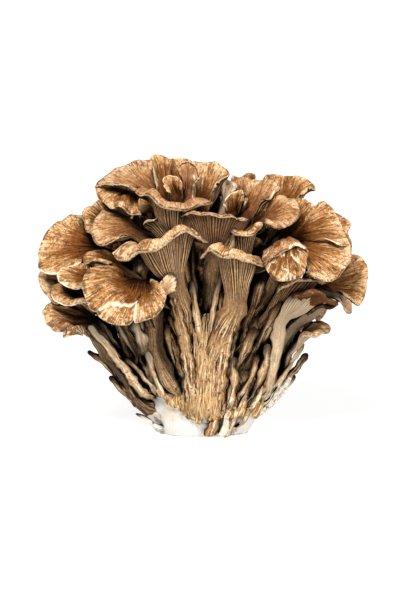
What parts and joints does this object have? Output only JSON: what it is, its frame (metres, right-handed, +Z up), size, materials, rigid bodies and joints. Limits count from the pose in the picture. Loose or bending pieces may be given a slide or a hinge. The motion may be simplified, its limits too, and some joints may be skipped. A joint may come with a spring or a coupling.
{
  "type": "maitake mushroom",
  "caption": "Freestanding maitake cluster: white trimmed butt and striated main stem, crowned with overlapping fan-shaped brown caps with gilled pale undersides.",
  "frame": {"origin": "middle of the flat cut face under the butt, which the cluster stands on", "axes": "+Z up through the cluster, front with the largest overhanging cap at -Y, +X to the right seen from the front"},
  "size_m": [0.1831, 0.1323, 0.1509],
  "materials": {
    "core_flesh": "dry white flesh where trimmed, tan fibres up the main stem",
    "frond_skin": "matte mottled brown skin with radial fibres, pale rim and cream gilled underside",
    "shoot_flesh": "matte fibrous tan stem with a darker tip"
  },
  "bodies": {
    "root": {"core": "core_flesh", "shoot_main_stem_left": "shoot_flesh", "shoot_main_stem_pale": "shoot_flesh", "shoot_main_stem_tall": "shoot_flesh", "shoot_main_stem_short": "shoot_flesh", "shoot_left_tip": "shoot_flesh", "shoot_left_low": "shoot_flesh", "shoot_left_stub": "shoot_flesh", "shoot_right_finger": "shoot_flesh", "shoot_right_low": "shoot_flesh", "frond_front_left_disc": "frond_skin", "frond_centre_left_trumpet": "frond_skin", "frond_right_centre_trumpet": "frond_skin", "frond_centre_gilled_fan": "frond_skin", "frond_centre_upper_fan": "frond_skin", "frond_right_cracked_disc": "frond_skin", "frond_right_inner_cup": "frond_skin", "frond_right_mid_fan": "frond_skin", "frond_right_upper_disc": "frond_skin", "frond_right_shell_lower": "frond_skin", "frond_right_shell_upper": "frond_skin", "frond_upper_left_cap": "frond_skin", "frond_left_inner_curl": "frond_skin", "frond_left_small_disc": "frond_skin", "frond_left_cup": "frond_skin", "frond_left_large": "frond_skin", "frond_left_edge_fold": "frond_skin", "frond_left_low_ruffle": "frond_skin", "frond_top_left_large": "frond_skin", "frond_top_left_under": "frond_skin", "frond_upper_left_back": "frond_skin", "frond_centre_small_leaf": "frond_skin", "frond_top_centre_gold": "frond_skin", "frond_top_rounded_leaf": "frond_skin", "frond_top_folded_leaf": "frond_skin", "frond_top_left_striped": "frond_skin", "frond_top_back_leaf": "frond_skin", "frond_top_pale_lump": "frond_skin", "frond_top_small_cup": "frond_skin", "frond_top_right_fold": "frond_skin", "frond_top_right_fan": "frond_skin", "frond_top_right_grey": "frond_skin", "frond_right_upper_leaf": "frond_skin", "frond_right_back_shell": "frond_skin", "frond_right_arch": "frond_skin", "frond_right_arch_lip": "frond_skin", "frond_right_outer_leaf": "frond_skin", "frond_right_tongue": "frond_skin", "frond_right_thin_arch": "frond_skin", "frond_right_low_tongue": "frond_skin", "frond_back_low_right": "frond_skin", "frond_back_low_middle": "frond_skin", "frond_back_low_left": "frond_skin", "frond_back_low_far_left": "frond_skin", "frond_back_mid_right": "frond_skin", "frond_back_mid_middle": "frond_skin", "frond_back_mid_left": "frond_skin", "frond_back_high_right": "frond_skin", "frond_back_high_left": "frond_skin"}
  },
  "joints": []
}
